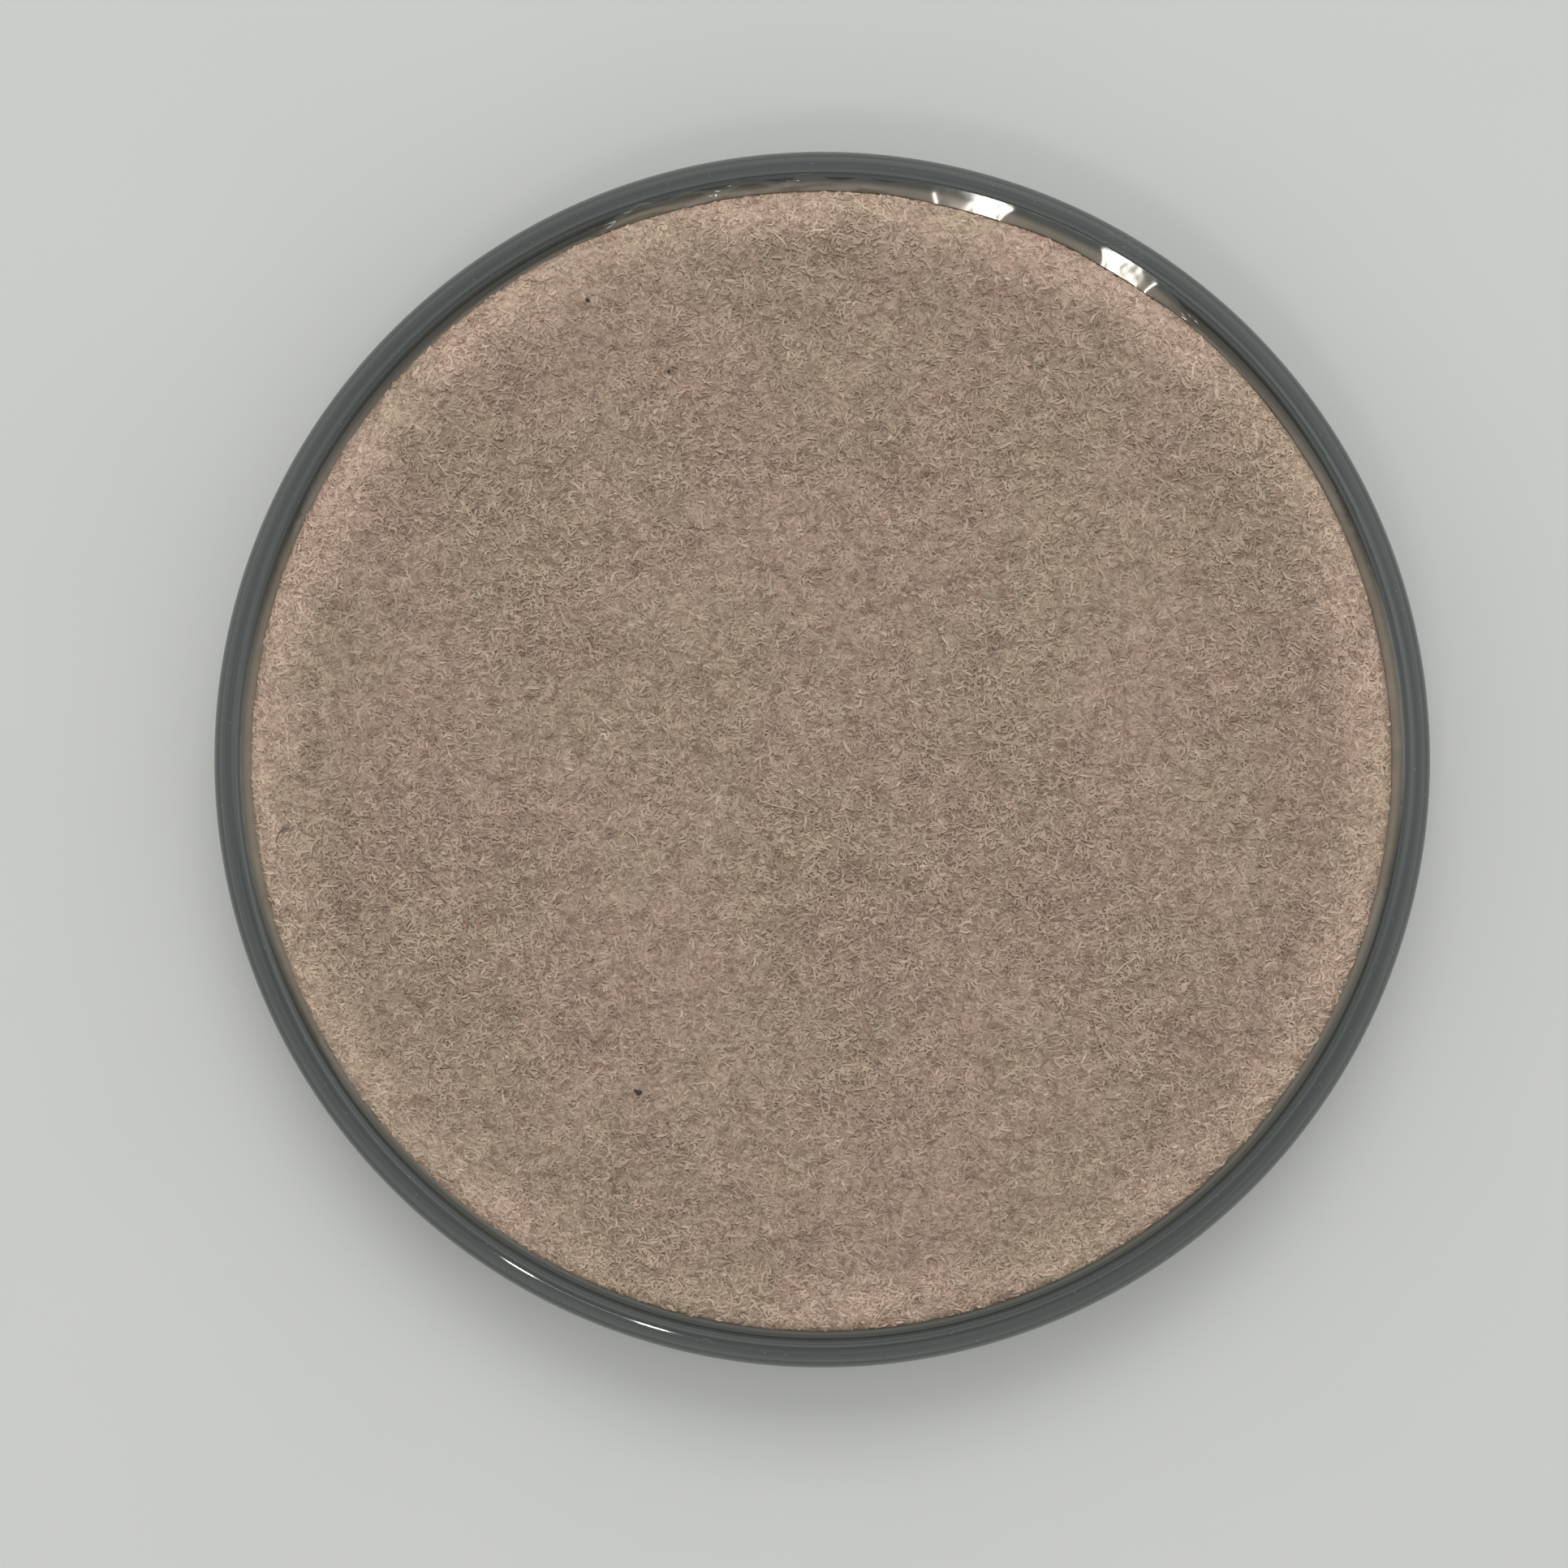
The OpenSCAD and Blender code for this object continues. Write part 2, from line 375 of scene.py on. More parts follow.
film_material, tree, shader = finish("glue_film", (0.42, 0.34, 0.23), 0.25)
roller = put(tree, "ShaderNodeTexNoise", {"Vector": place_in_mm(tree), "Scale": 2.5, "Detail": 3.0})
tint = mixed(tree, roller.outputs["Fac"], (0.36, 0.29, 0.19, 1), (0.48, 0.40, 0.28, 1))
tree.links.new(tint, shader.inputs["Base Color"])
bump(tree, shader, roller.outputs["Fac"], 0.03)
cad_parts["face_adhesive"].material_slots[0].material = film_material


# Hub flange and rivets. The flange is stamped from zinc-plated steel, with an edge rolled soft
# by the press. Four solid rivets clamp it to the cup's floor, each with a set, domed head.
FLANGE_R = 8.5
FLANGE_FOOT = 0.5
COLLAR_FOOT = 0.1
BUSH_R = 4.0
DOME_R = 1.3
SINK_DEPTH = 0.4
SINK_R = RIVET_R + 0.45
PLATE_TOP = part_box("backing_plate")[1].z / MM

flange = turned("stamped_flange", rounded([
    (BUSH_R, FLANGE_FOOT, 0.05),
    (FLANGE_R, FLANGE_FOOT, 0.25),
    (FLANGE_R, FLOOR_UNDER, 0.05),
    (BUSH_R, FLOOR_UNDER, 0.03),
]), around=288)
cut_or_join(flange, rivet_drills(RIVET_HOLE), "DIFFERENCE")

zinc_material, tree, shader = finish("zinc_plate", (0.62, 0.63, 0.64), 0.3, 1.0)
marks = put(tree, "ShaderNodeGroup", {"Length": 1.4, "Cover": 0.3}, node_tree=hairlines).outputs
spangle = put(tree, "ShaderNodeTexVoronoi", {"Vector": place_in_mm(tree), "Scale": 1.6})
grey = put(tree, "ShaderNodeSeparateColor", {0: spangle.outputs["Color"]}).outputs[0]
tint = mixed(tree, grey, (0.55, 0.56, 0.58, 1), (0.68, 0.69, 0.68, 1))
tree.links.new(tint, shader.inputs["Base Color"])
rough = maths(tree, "MULTIPLY_ADD", grey, 0.12, 0.24)
rough = maths(tree, "ADD", rough, maths(tree, "MULTIPLY", marks["Scratch"], 0.25))
tree.links.new(rough, shader.inputs["Roughness"])
bump(tree, shader, marks["Scratch"], -0.004)
dress(flange, zinc_material)
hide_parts("hub_flange")


def rivet(number):
    """One set rivet: a domed head with a ring from the setting tool, shank and flush head."""
    head = [(0, COLLAR_FOOT)]
    for k in range(1, 13):
        share = k / 12
        ring = 0.02 * math.exp(-((share - 0.62) / 0.07) ** 2)
        head.append((DOME_R * share, COLLAR_FOOT + (FLANGE_FOOT - COLLAR_FOOT) * share ** 2.4 + ring))
    outline = head + [
        (DOME_R - 0.02, FLANGE_FOOT), (RIVET_R, FLANGE_FOOT), (RIVET_R, PLATE_TOP - SINK_DEPTH),
        (SINK_R, PLATE_TOP), (0, PLATE_TOP),
    ]
    piece = turned(f"set_rivet_{number}", outline, around=64, sharp=40)
    angle = (number - 0.5) * 2 * math.pi / RIVET_COUNT
    shift = Vector((RIVET_CIRCLE * math.cos(angle), RIVET_CIRCLE * math.sin(angle), 0)) * MM
    for vertex in piece.data.vertices:
        vertex.co += shift
    return piece


for number in range(1, RIVET_COUNT + 1):
    one = rivet(number)
    dress(one, zinc_material)
    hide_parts(f"hub_rivet_{number}")


# Threaded bush. Turned from brass bar, with a collar that the spindle's shoulder seats on, a
# closed end under the felt and a coarse thread cut from the open end.
COLLAR_R = 5.2
BUSH_TOP = PLATE_TOP + 0.9
BORE_R = 2.5
THREAD_PITCH = 1.0
THREAD_DEPTH = 0.5
BORE_TOP = BUSH_TOP - 0.4
POCKET_R = BUSH_R + 0.2
POCKET_TOP = BUSH_TOP + 0.1


def bush_mesh():
    """The bush's outer section is plain, and its bore follows a helix cut into the wall."""
    outside = rounded([
        (BORE_R + 0.3, COLLAR_FOOT, 0),
        (COLLAR_R, COLLAR_FOOT, 0.12),
        (COLLAR_R, FLANGE_FOOT, 0.04),
        (BUSH_R, FLANGE_FOOT, 0),
        (BUSH_R, BUSH_TOP, 0.25),
        (0, BUSH_TOP, 0),
    ])
    around, levels = 144, 60
    verts = []
    for level in range(levels + 1):
        z = COLLAR_FOOT + (BORE_TOP - COLLAR_FOOT) * level / levels
        lead_in = max(0.0, 0.3 - (z - COLLAR_FOOT))
        fade = min(1.0, (BORE_TOP - z) / 0.3)
        for k in range(around):
            angle = 2 * math.pi * k / around
            phase = (z / THREAD_PITCH - k / around) % 1
            groove = max(0.0, 1 - abs(phase - 0.5) / 0.42) * THREAD_DEPTH * fade
            r = BORE_R + max(groove, lead_in)
            verts.append((r * math.cos(angle), r * math.sin(angle), z))
    faces = []
    for level in range(levels):
        for k in range(around):
            n = (k + 1) % around
            a, b = level * around, (level + 1) * around
            faces.append((a + k, b + k, b + n, a + n))
    roof = len(verts)
    verts.append((0, 0, BORE_TOP + 0.1))
    faces += [(levels * around + k, roof, levels * around + (k + 1) % around) for k in range(around)]
    previous = 0
    for r, z in outside[1:-1]:
        ring = len(verts)
        for k in range(around):
            angle = 2 * math.pi * k / around
            verts.append((r * math.cos(angle), r * math.sin(angle), z))
        faces += [(previous + k, previous + (k + 1) % around, ring + (k + 1) % around, ring + k)
                  for k in range(around)]
        previous = ring
    tip = len(verts)
    verts.append((0, 0, BUSH_TOP))
    faces += [(previous + k, previous + (k + 1) % around, tip) for k in range(around)]
    return mesh_piece("brass_bush", verts, faces, sharp=28)


bush = bush_mesh()
brass_material, tree, shader = finish("turned_brass", (0.72, 0.52, 0.24), 0.22, 1.0)
marks = put(tree, "ShaderNodeGroup", {"Length": 1.4, "Cover": 0.25}, node_tree=hairlines).outputs
place = place_in_mm(tree)
flat, radius = off_axis(tree, place)
height = put(tree, "ShaderNodeSeparateXYZ", {0: place}).outputs["Z"]
wander = put(tree, "ShaderNodeTexNoise", {"Vector": place, "Scale": 0.8, "Detail": 2.0})
feed = maths(tree, "MULTIPLY", maths(tree, "ADD", radius, height), 55.0)
lathe_lines = maths(tree, "SINE", maths(tree, "ADD", feed, wander.outputs["Fac"]))
tint = mixed(tree, wander.outputs["Fac"], (0.64, 0.44, 0.18, 1), (0.78, 0.58, 0.29, 1))
tree.links.new(tint, shader.inputs["Base Color"])
rough = maths(tree, "MULTIPLY_ADD", marks["Scratch"], 0.2, 0.2)
tree.links.new(rough, shader.inputs["Roughness"])
bump(tree, shader, lathe_lines, 0.0012)
dress(bush, brass_material)
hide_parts("threaded_bush")


# Felt. A disc of pressed brown-grey wool with a flat working face and a rounded shoulder. The shoulder is
# coloured paler than the face, partly because handling has left it cleaner and partly as painted light
# where the tilted shoulder catches more light. The disc carries the relief and the colour, and its fibres
# are separate strands: three dense lays on the face and a few that stand proud.
GLUE_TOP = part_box("felt_face")[0].z / MM
FELT_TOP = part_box("felt_face")[1].z / MM
FELT_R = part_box("felt_face")[1].x / MM
SHOULDER_W = 2.5
SHOULDER_DROP = 1.0
SHOULDER_ARC = (SHOULDER_W ** 2 + SHOULDER_DROP ** 2) / (2 * SHOULDER_DROP)
FELT_SHIFT = np.array((-0.05, -0.05))
LAY_DEPTH = 0.06


def felt_profile(r):
    """Height of the felt's true surface at radius r, in mm: flat, then an arc over the shoulder."""
    over = np.clip(r - (FELT_R - SHOULDER_W), 0, SHOULDER_W)
    return FELT_TOP - SHOULDER_ARC + np.sqrt(SHOULDER_ARC ** 2 - over ** 2)


def felt_swell(x, y):
    """Slow unevenness of the pressed face, in mm."""
    return 0.03 * noise.noise(Vector((x, y, 3.0)) * 0.16) + 0.02 * noise.noise(Vector((x, y, 9.0)) * 0.55)


def felt_disc():
    """The disc: rings of points that double in number outwards, so that cells stay even."""
    spacing, most = 0.15, 768
    edge = FELT_R - 0.02
    rings = [0.0]
    while rings[-1] < FELT_R - spacing:
        rings.append(rings[-1] + spacing)
    rings = [r * edge / rings[-1] for r in rings]
    verts, starts, counts = [], [], []

    def add_ring(radius, count, height):
        starts.append(len(verts))
        counts.append(count)
        for k in range(count):
            angle = 2 * math.pi * k / count
            x, y = radius * math.cos(angle), radius * math.sin(angle)
            z = height(x, y, radius)
            verts.append((x + FELT_SHIFT[0], y + FELT_SHIFT[1], z))

    def face_height(x, y, radius):
        matted = noise.fractal(Vector((x, y, 0.5)) * 2.2, 0.7, 2.1, 4)
        pits_and_pit_shade = min(0.0, noise.noise(Vector((x, y, 7.7)) * 3.1) + 0.15)
        return float(felt_profile(radius)) - LAY_DEPTH + felt_swell(x, y) + 0.035 * matted + 0.09 * pits_and_pit_shade

    for radius in rings:
        count = 1
        if radius > 0:
            count = 24
            while count * 0.19 < 2 * math.pi * radius and count < most:
                count *= 2
        add_ring(radius, count, face_height)
    side_top = float(felt_profile(FELT_R)) - LAY_DEPTH
    for step in range(1, 9):
        z = side_top + (GLUE_TOP - side_top) * step / 8
        add_ring(edge, most, lambda x, y, radius, z=z: z)
    add_ring(POCKET_R, most, lambda x, y, radius: GLUE_TOP)
    add_ring(POCKET_R, most, lambda x, y, radius: POCKET_TOP)
    add_ring(0.0, 1, lambda x, y, radius: POCKET_TOP)

    faces = []
    for a, b, few, many in zip(starts, starts[1:], counts, counts[1:]):
        if few == 1:
            faces += [(a, b + k, b + (k + 1) % many) for k in range(many)]
        elif many == 1:
            faces += [(a + k, b, a + (k + 1) % few) for k in range(few)]
        elif few == many:
            faces += [(a + k, b + k, b + (k + 1) % many, a + (k + 1) % few) for k in range(few)]
        else:
            step = many // few
            for k in range(few):
                n = (k + 1) % few
                middle = step // 2
                for j in range(step):
                    inner = a + (k if j < middle else n)
                    faces.append((inner, b + k * step + j, b + (k * step + j + 1) % many))
                faces.append((a + k, b + k * step + middle, a + n))
    return mesh_piece("felt_disc", verts, faces, sharp=0)


def wool_group():
    """The wool's colour: a strand's own shade, slow mauve and olive drifts, blotches, dark patches of
    painted shade, and a paler shoulder, partly cleaner wool and partly painted light, by the place on the
    wheel."""
    tree, given, out = group(
        "wool_colour", [("Shade", "NodeSocketFloat", 0.5)], [("Color", "NodeSocketColor")])
    place = place_in_mm(tree)
    strand = put(tree, "ShaderNodeValToRGB", {0: given["Shade"]})
    stops = strand.color_ramp.elements
    stops[0].position, stops[0].color = 0.04, (0.050, 0.036, 0.030, 1)
    stops[1].position, stops[1].color = 1.0, (0.370, 0.205, 0.165, 1)
    for position, colour in (
        (0.10, (0.245, 0.172, 0.130, 1)),
        (0.34, (0.365, 0.275, 0.210, 1)),
        (0.62, (0.440, 0.337, 0.262, 1)),
        (0.80, (0.560, 0.450, 0.358, 1)),
        (0.86, (0.440, 0.318, 0.256, 1)),
    ):
        stops.new(position).color = colour
    drift = put(tree, "ShaderNodeTexNoise", {"Vector": place, "Scale": 0.16, "Detail": 2.0}).outputs["Fac"]
    drift = ramp(tree, drift, 0.4, 0.6)
    colour = mixed(tree, 1.0, strand.outputs[0], mixed(
        tree, drift, (0.992, 1.006, 0.978, 1), (1.006, 0.98, 0.992, 1)), "MULTIPLY")
    blotch = put(tree, "ShaderNodeTexNoise", {
        "Vector": place, "Scale": 0.75, "Detail": 4.0, "Roughness": 0.6}).outputs["Fac"]
    blotch = ramp(tree, blotch, 0.3, 0.7, 0.91, 1.08)
    grey = put(tree, "ShaderNodeCombineColor", {0: blotch, 1: blotch, 2: blotch}).outputs[0]
    colour = mixed(tree, 1.0, colour, grey, "MULTIPLY")
    # Dark patches from a stretched noise: painted shade, as in the pits and gaps between fibres.
    laid = put(tree, "ShaderNodeMapping", {"Vector": place, "Scale": (0.75, 1.15, 1.0)}).outputs[0]
    matted = put(tree, "ShaderNodeTexNoise", {
        "Vector": laid, "Scale": 2.4, "Detail": 3.0, "Roughness": 0.6, "Distortion": 1.0}).outputs["Fac"]
    pits_and_pit_shade = mixed(tree, ramp(tree, matted, 0.33, 0.53), (0.74, 0.70, 0.69, 1), (1.0, 1.0, 1.0, 1))
    colour = mixed(tree, 1.0, colour, pits_and_pit_shade, "MULTIPLY")
    flat, radius = off_axis(tree, place)
    radius = maths(tree, "MULTIPLY_ADD", drift, 0.5, radius)
    # Paler towards the rim: partly cleaner wool, partly painted light where the tilted shoulder catches
    # more light.
    clean_and_lit_shoulder = ramp(tree, radius, 20.6, 23.4)
    worn = ramp(tree, radius, 17.0, 19.5, 1.0, 0.97)
    worn = put(tree, "ShaderNodeCombineColor", {0: worn, 1: worn, 2: worn}).outputs[0]
    colour = mixed(tree, 1.0, colour, worn, "MULTIPLY")
    colour = mixed(tree, 1.0, colour, mixed(
        tree, clean_and_lit_shoulder, (0.90, 0.905, 0.91, 1), (1.25, 1.27, 1.27, 1)), "MULTIPLY")
    tree.links.new(colour, out["Color"])
    return tree


def strands(name, count, length, width, lift, sides, seed, shade, places=None):
    """Many wool strands as one mesh: each a curved ribbon or a three-sided tube that dips into the
    face at both ends. Every strand carries its own shade and its own cell of the map."""
    draw = np.random.default_rng(seed)
    steps = 5 if sides == 2 else 6
    reach = (FELT_R - 0.12) * np.sqrt(draw.uniform(0, 1, count))
    turn = draw.uniform(0, 2 * math.pi, count)
    if places:
        reach, turn = np.array([(math.hypot(x, y), math.atan2(y, x)) for x, y in places]).T
    heading = draw.uniform(0, 2 * math.pi, count)
    heading -= 0.15 * np.sin(2 * heading)
    bend = draw.normal(0, 1.1, count)
    twist = draw.normal(0, 1.0, count)
    long = length * np.exp(draw.normal(0, 0.4, count))
    wide = width * np.exp(draw.normal(0, 0.25, count))
    roll = draw.normal(0, 0.28, count)
    rise = lift[0] + (lift[1] - lift[0]) * draw.uniform(0, 1, count) ** 2
    sunk = draw.uniform(-0.5, 0.2, count) * LAY_DEPTH

    t = np.linspace(0, 1, steps)[None, :]
    angle = heading[:, None] + bend[:, None] * (t - 0.5) + twist[:, None] * np.sin(2 * math.pi * t) * 0.5
    step = long[:, None] / (steps - 1)
    x = np.cumsum(np.cos(angle) * step, axis=1)
    y = np.cumsum(np.sin(angle) * step, axis=1)
    x += (reach * np.cos(turn))[:, None] - x.mean(1, keepdims=True)
    y += (reach * np.sin(turn))[:, None] - y.mean(1, keepdims=True)
    over = np.maximum(np.hypot(x, y).max(1) - (FELT_R - 0.03), 0)
    x -= (over * np.cos(turn))[:, None]
    y -= (over * np.sin(turn))[:, None]
    z = felt_profile(np.hypot(x, y)) + sunk[:, None] - LAY_DEPTH * 0.4
    z += rise[:, None] * np.sin(math.pi * t)
    along = np.stack([np.cos(angle), np.sin(angle)], -1)
    side = np.stack([
        -along[..., 1] * np.cos(roll)[:, None],
        along[..., 0] * np.cos(roll)[:, None],
        np.sin(roll)[:, None] * np.ones_like(t),
    ], -1)
    up = np.stack([
        along[..., 1] * np.sin(roll)[:, None],
        -along[..., 0] * np.sin(roll)[:, None],
        np.cos(roll)[:, None] * np.ones_like(t),
    ], -1)
    half = (wide[:, None] / 2 * (0.35 + 0.65 * np.sin(math.pi * t) ** 0.6))[..., None]
    centre = np.stack([x + FELT_SHIFT[0], y + FELT_SHIFT[1], z], -1)
    if sides == 2:
        rows = [centre - side * half, centre + side * half]
    else:
        rows = [centre - side * half, centre + side * half, centre + up * half * 1.2]
    verts = np.stack(rows, 2).reshape(-1, 3)
    per = steps * sides
    base = (np.arange(count) * per)[:, None]
    quads = []
    for s in range(steps - 1):
        for e in range(1 if sides == 2 else sides):
            n = (e + 1) % sides
            a, b = s * sides, (s + 1) * sides
            quads.append((a + e, a + n, b + n, b + e))
    quads = np.array(quads)
    faces = (base[:, :, None] + quads[None]).reshape(-1, 4)
    piece = mesh_piece(name, verts.tolist(), faces.tolist(), sharp=0)
    mesh = piece.data
    values = np.repeat(shade(draw, count), per).astype(np.float32)
    mesh.attributes.new("shade", "FLOAT", "POINT").data.foreach_set("value", values)

    cells = math.ceil(math.sqrt(count))
    order = np.arange(count)
    corner_u = (order % cells)[:, None] + 0.15 + 0.7 * np.tile(np.array(
        [0, 1] if sides == 2 else [0, 1, 0.5]), steps)[None, :]
    corner_v = (order // cells)[:, None] + 0.15 + 0.7 * np.repeat(np.linspace(0, 1, steps), sides)[None, :]
    uv = np.stack([corner_u.ravel(), corner_v.ravel()], -1) / cells
    layer = mesh.uv_layers.new(name="OFBake")
    corners = np.empty(len(mesh.loops), np.int32)
    mesh.loops.foreach_get("vertex_index", corners)
    layer.uv.foreach_set("vector", uv[corners].astype(np.float32).ravel())
    return piece


wool = wool_group()


def wool_material(name, own_shade=True):
    """Felt's finish: the wool's colour with a soft sheen. Strands bring their own shade; the ground
    beneath them takes darker shades from a noise, which is painted shade in the gaps between strands.
    """
    material, tree, shader = finish(name, (0.31, 0.234, 0.177), 0.9)
    if own_shade:
        shade = put(tree, "ShaderNodeAttribute", attribute_name="shade").outputs["Fac"]
    else:
        lay = put(tree, "ShaderNodeTexNoise", {
            "Vector": place_in_mm(tree), "Scale": 5.0, "Detail": 3.0, "Distortion": 1.2}).outputs["Fac"]
        # The ground takes the darker end of the wool's shades: painted shade in the gaps between the
        # strands.
        shade = ramp(tree, lay, 0.35, 0.7, 0.11, 0.45)
        bump(tree, shader, lay, 0.04)
    colour = put(tree, "ShaderNodeGroup", {"Shade": shade}, node_tree=wool).outputs["Color"]
    tree.links.new(colour, shader.inputs["Base Color"])
    shader.inputs["Specular IOR Level"].default_value = 0.15
    shader.inputs["Sheen Weight"].default_value = 0.12
    shader.inputs["Sheen Roughness"].default_value = 0.5
    return material


def mostly_mid(draw, count):
    """Shades of the face's wool: mid browns, with a few reddish strands among them."""
    shades = 0.1 + 0.68 * draw.beta(3.6, 3.8, count)
    red = draw.uniform(0, 1, count) < 0.04
    return np.where(red, draw.uniform(0.85, 0.93, count), shades)


felt = felt_disc()
dress(felt, wool_material("felt_ground", own_shade=False))
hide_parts("felt_face")
lay_material = wool_material("felt_strands")
for number in (1, 2, 3):
    lay = strands(f"felt_lay_{number}", 24500, 0.29, 0.088, (0.0, 0.018), 2, 10 + number, mostly_mid)
    dress(lay, lay_material)
proud = strands("felt_proud_fibres", 2600, 0.5, 0.04, (0.03, 0.09), 3, 21, mostly_mid)
dress(proud, lay_material)

DARK_HAIRS = [(-14.5, 11.1), (-5.1, 9.4), (-21.9, -3.0)]
RED_HAIRS = [(-13.7, -6.6), (-12.3, -3.8), (-4.4, 22.2), (3.1, 12.7), (-9.0, -11.5)]
PALE_HAIRS = [(-7.7, -3.1), (-5.1, -7.1), (-1.6, -1.8), (12.2, -8.4)]
hair_places = DARK_HAIRS + RED_HAIRS + PALE_HAIRS
hair_shades = [0.06] * len(DARK_HAIRS) + [0.97] * len(RED_HAIRS) + [0.8] * len(PALE_HAIRS)
hairs = strands("felt_stray_hairs", len(hair_places), 1.3, 0.06, (0.04, 0.08), 3, 31,
                lambda draw, count: hair_shades, hair_places)
dress(hairs, lay_material)

SPECKS = [(-9.5, 18.7), (-7.4, -13.5), (-6.2, 15.8), (-7.5, -13.4)]
specks = strands("felt_grit_specks", len(SPECKS), 0.2, 0.16, (0.05, 0.06), 3, 41,
                 lambda draw, count: [0.0] * count, SPECKS)
dress(specks, lay_material)


# Glue bead. Clear glue that squeezed up between felt and lip when the disc was pressed in, and hardened
# glossy. It is full and lumpy along one side, fuller at the two sides next to it, and thin and low over
# the rest. Its colour is amber over the felt and dark over the lip; over the low stretch it is painted
# darker, painted shade, and at the two sides it is painted paler, a painted reflection.
BEAD_INNER = FELT_R - 0.08
BEAD_FOOT = 3.9
FULL_ARC = (-18, 34.5, 7)
CALM_ARC = (9, 36, 5)
POOLS = ((12, 18, 5), (29.5, 34.5, 4))
SIDE_SWELLS = ((268, 36), (84, 30))


def lip_wall(z):
    """Radius of the lip's inner side at height z, in mm."""
    above = max(0.0, z - (LIP_TOP - LIP_ROUND_IN))
    return LIP_INNER + LIP_ROUND_IN - math.sqrt(max(0.0, LIP_ROUND_IN ** 2 - above ** 2))


def hump(degrees, centre, width):
    """One smooth swell round the wheel, about a compass azimuth in degrees."""
    apart = (degrees - centre + 180) % 360 - 180
    return math.exp(-(apart / width) ** 2)


def plateau(degrees, start, end, fade):
    """Full height between two compass azimuths, falling to nothing over `fade` degrees."""
    apart = abs((degrees - (start + end) / 2 + 180) % 360 - 180)
    share = min(1.0, max(0.0, ((end - start) / 2 + fade - apart) / fade))
    return share * share * (3 - 2 * share)


def glue_bead():
    """The bead's skin from felt to lip: full over one arc, where it has two smooth pools among
    lumps, swollen at the two sides, and sagging elsewhere. Its foot is hidden in the joint."""
    around, across = 1440, 14
    verts, fullness = [], []
    for k in range(around):
        degrees = 360 * k / around
        azimuth = math.radians(degrees)
        toward = Vector((math.sin(azimuth), math.cos(azimuth), 0))
        calm = plateau(degrees, *CALM_ARC)
        lump = (1 - 0.95 * calm) * noise.fractal(toward * 20.0 + Vector((0, 0, 4)), 0.9, 2.1, 2)
        thick = plateau(degrees, *FULL_ARC)
        side = max(hump(degrees, *swell) for swell in SIDE_SWELLS) * (1 - thick)
        pool = max(plateau(degrees, *arc) for arc in POOLS)
        outer_z = LIP_TOP - 0.45 + 0.38 * side + (0.43 + 0.04 * lump) * thick
        outer_z = min(outer_z, LIP_TOP - 0.015)
        outer_r = lip_wall(outer_z) + 0.002
        inner_r = BEAD_INNER + 0.04 * side - (0.03 + 0.04 * lump + 0.08 * pool) * thick
        inner_z = float(felt_profile(inner_r)) - 0.03 + 0.03 * pool - 0.06 * (1 - thick) * (1 - side)
        sag = 0.04 * (1 - side) * (1 - thick)
        for j in range(across + 1):
            s = j / across
            r = inner_r + (outer_r - inner_r) * s
            blob = noise.noise(toward * 17.0 + Vector((0, 0, 2.0 * s)))
            swell = (0.003 + 0.2 * (1 - calm)) * blob * thick
            z = inner_z + (outer_z - inner_z) * s - (sag - swell) * 4 * s * (1 - s)
            verts.append((r * math.sin(azimuth), r * math.cos(azimuth), z))
        for r in (LIP_INNER, BEAD_INNER - 0.15):
            verts.append((r * math.sin(azimuth), r * math.cos(azimuth), BEAD_FOOT))
        fullness += [max(0.65 * thick, side)] * (across + 3)
    per = across + 3
    faces = []
    for k in range(around):
        a, b = k * per, (k + 1) % around * per
        for j in range(per):
            n = (j + 1) % per
            faces.append((a + j, a + n, b + n, b + j))
    piece = mesh_piece("glue_bead", verts, faces, sharp=60)
    piece.data.attributes.new("fullness", "FLOAT", "POINT").data.foreach_set("value", fullness)
    return piece


bead = glue_bead()
bead_material, tree, shader = finish("clear_glue", (0.12, 0.10, 0.075), 0.07)
place = place_in_mm(tree)
cloud = put(tree, "ShaderNodeTexNoise", {"Vector": place, "Scale": 1.2, "Detail": 3.0}).outputs["Fac"]
over_felt_and_painted_shade = mixed(tree, cloud, (0.17, 0.148, 0.118, 1), (0.27, 0.235, 0.19, 1))
flat, radius = off_axis(tree, place)
# The bead's fullness steers painted light: where it is low the glue is painted darker as shade, and where
# it is full the paler glue colour reaches further toward the lip.
fullness_for_painted_light = put(tree, "ShaderNodeAttribute", attribute_name="fullness").outputs["Fac"]
radius = maths(tree, "MULTIPLY_ADD", fullness_for_painted_light, -0.12, radius)
over_lip = ramp(tree, radius, FELT_R - 0.03, LIP_INNER - 0.06)
# Over the low stretch the amber is swapped for a dark brown: painted shade.
over_felt_and_painted_shade = mixed(tree, fullness_for_painted_light, (0.095, 0.082, 0.063, 1), over_felt_and_painted_shade)
# At the two swollen sides the glue over the lip is painted paler: a painted reflection.
over_wall_and_painted_sheen = mixed(tree, ramp(tree, fullness_for_painted_light, 0.66, 1.0), (0.055, 0.055, 0.048, 1), (0.115, 0.112, 0.098, 1))
tint = mixed(tree, over_lip, over_felt_and_painted_shade, over_wall_and_painted_sheen)
tree.links.new(tint, shader.inputs["Base Color"])
ripples = put(tree, "ShaderNodeTexNoise", {"Vector": place, "Scale": 1.5, "Detail": 1.0}).outputs["Fac"]
bump(tree, shader, ripples, 0.004)
dress(bead, bead_material)
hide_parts("adhesive_bead")


# Studio. A plain pale table in a pale room, lit by a broad soft light high on the far side and
# a faint panel on the right. A pair of small warm strip lamps, joined by a rail, shows only as
# highlights in the gloss. The table, the room and the lamps aren't part of the wheel.
bpy.context.scene.view_settings.view_transform = "Standard"

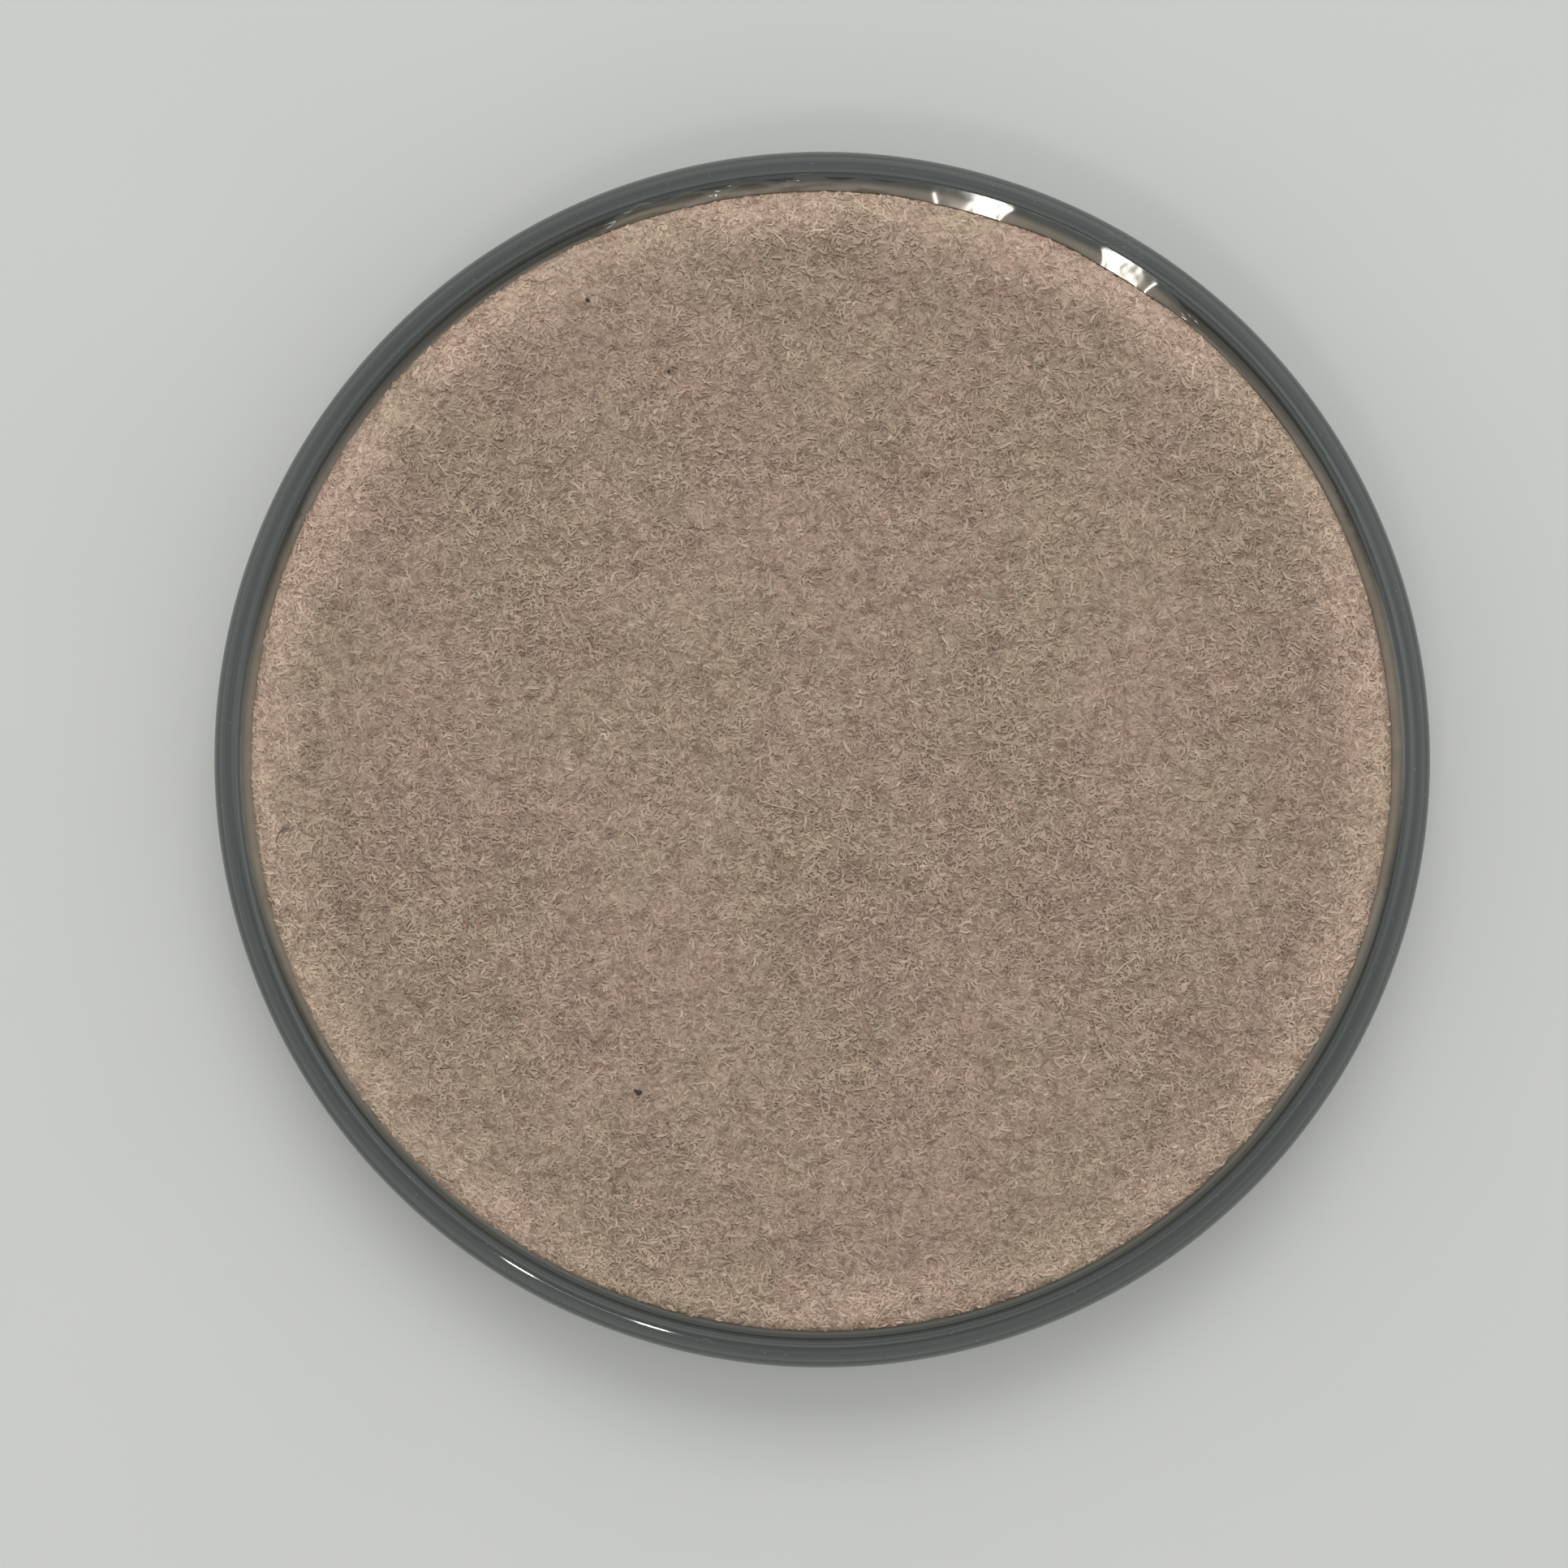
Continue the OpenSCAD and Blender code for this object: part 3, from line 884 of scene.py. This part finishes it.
REACH = 400
floor = mesh_piece(
    "floor", [(-REACH, -REACH, 0), (REACH, -REACH, 0), (REACH, REACH, 0), (-REACH, REACH, 0)],
    [(0, 1, 2, 3)], sharp=0)
floor_material, tree, shader = finish("pale_table", (0.481, 0.486, 0.475), 0.6)
grain = put(tree, "ShaderNodeTexNoise", {"Vector": place_in_mm(tree), "Scale": 0.08, "Detail": 5.0})
tint = mixed(tree, grain.outputs["Fac"], (0.472, 0.478, 0.468, 1), (0.490, 0.495, 0.483, 1))
tree.links.new(tint, shader.inputs["Base Color"])
floor.data.materials.append(floor_material)

world = bpy.data.worlds.new("pale_room")
world.use_nodes = True
bpy.context.scene.world = world
tree = world.node_tree
direction = put(tree, "ShaderNodeTexCoord").outputs["Generated"]
toward = put(tree, "ShaderNodeSeparateXYZ", {0: direction}).outputs
walls = mixed(tree, ramp(tree, toward["Z"], 0.1, 0.85), (1.20, 1.21, 1.20, 1), (0.64, 0.65, 0.645, 1))
ceiling = mixed(tree, ramp(tree, toward["Y"], -0.10, 0.02), (0.24, 0.25, 0.24, 1), (1.15, 1.17, 1.15, 1))
room = mixed(tree, ramp(tree, toward["Z"], 0.86, 0.93), walls, ceiling)
tree.links.new(room, tree.nodes["Background"].inputs["Color"])


def lamp(name, azimuth, zenith, distance, size, power, colour=(1, 1, 1)):
    """An area light that faces the wheel from a compass azimuth and an angle off the vertical."""
    data = bpy.data.lights.new(name, "AREA")
    data.shape = "RECTANGLE"
    data.size, data.size_y = size
    data.energy = power
    data.color = colour
    light = bpy.data.objects.new(name, data)
    a, b = math.radians(azimuth), math.radians(zenith)
    away = Vector((math.sin(a) * math.sin(b), math.cos(a) * math.sin(b), math.cos(b)))
    light.location = away * distance
    light.rotation_euler = away.to_track_quat("Z", "Y").to_euler()
    bpy.context.scene.collection.objects.link(light)
    return light


overhead = lamp("overhead_softbox", 0, 42, 0.8, (0.6, 0.35), 2.9)
overhead.visible_glossy = False
lamp("side_panel", 80, 23, 0.6, (0.2, 0.36), 0.12)
WARM = (1.0, 0.96, 0.86)
STRIPS_AZIMUTH = 202.8
for side in (-1, 1):
    lamp(f"strip_lamp_{side + 2}", STRIPS_AZIMUTH + side * 7.2, 32.5, 0.6, (0.017, 0.065), 0.16, WARM)
lamp("lamp_rail", STRIPS_AZIMUTH, 32, 0.6, (0.085, 0.012), 0.035, WARM)
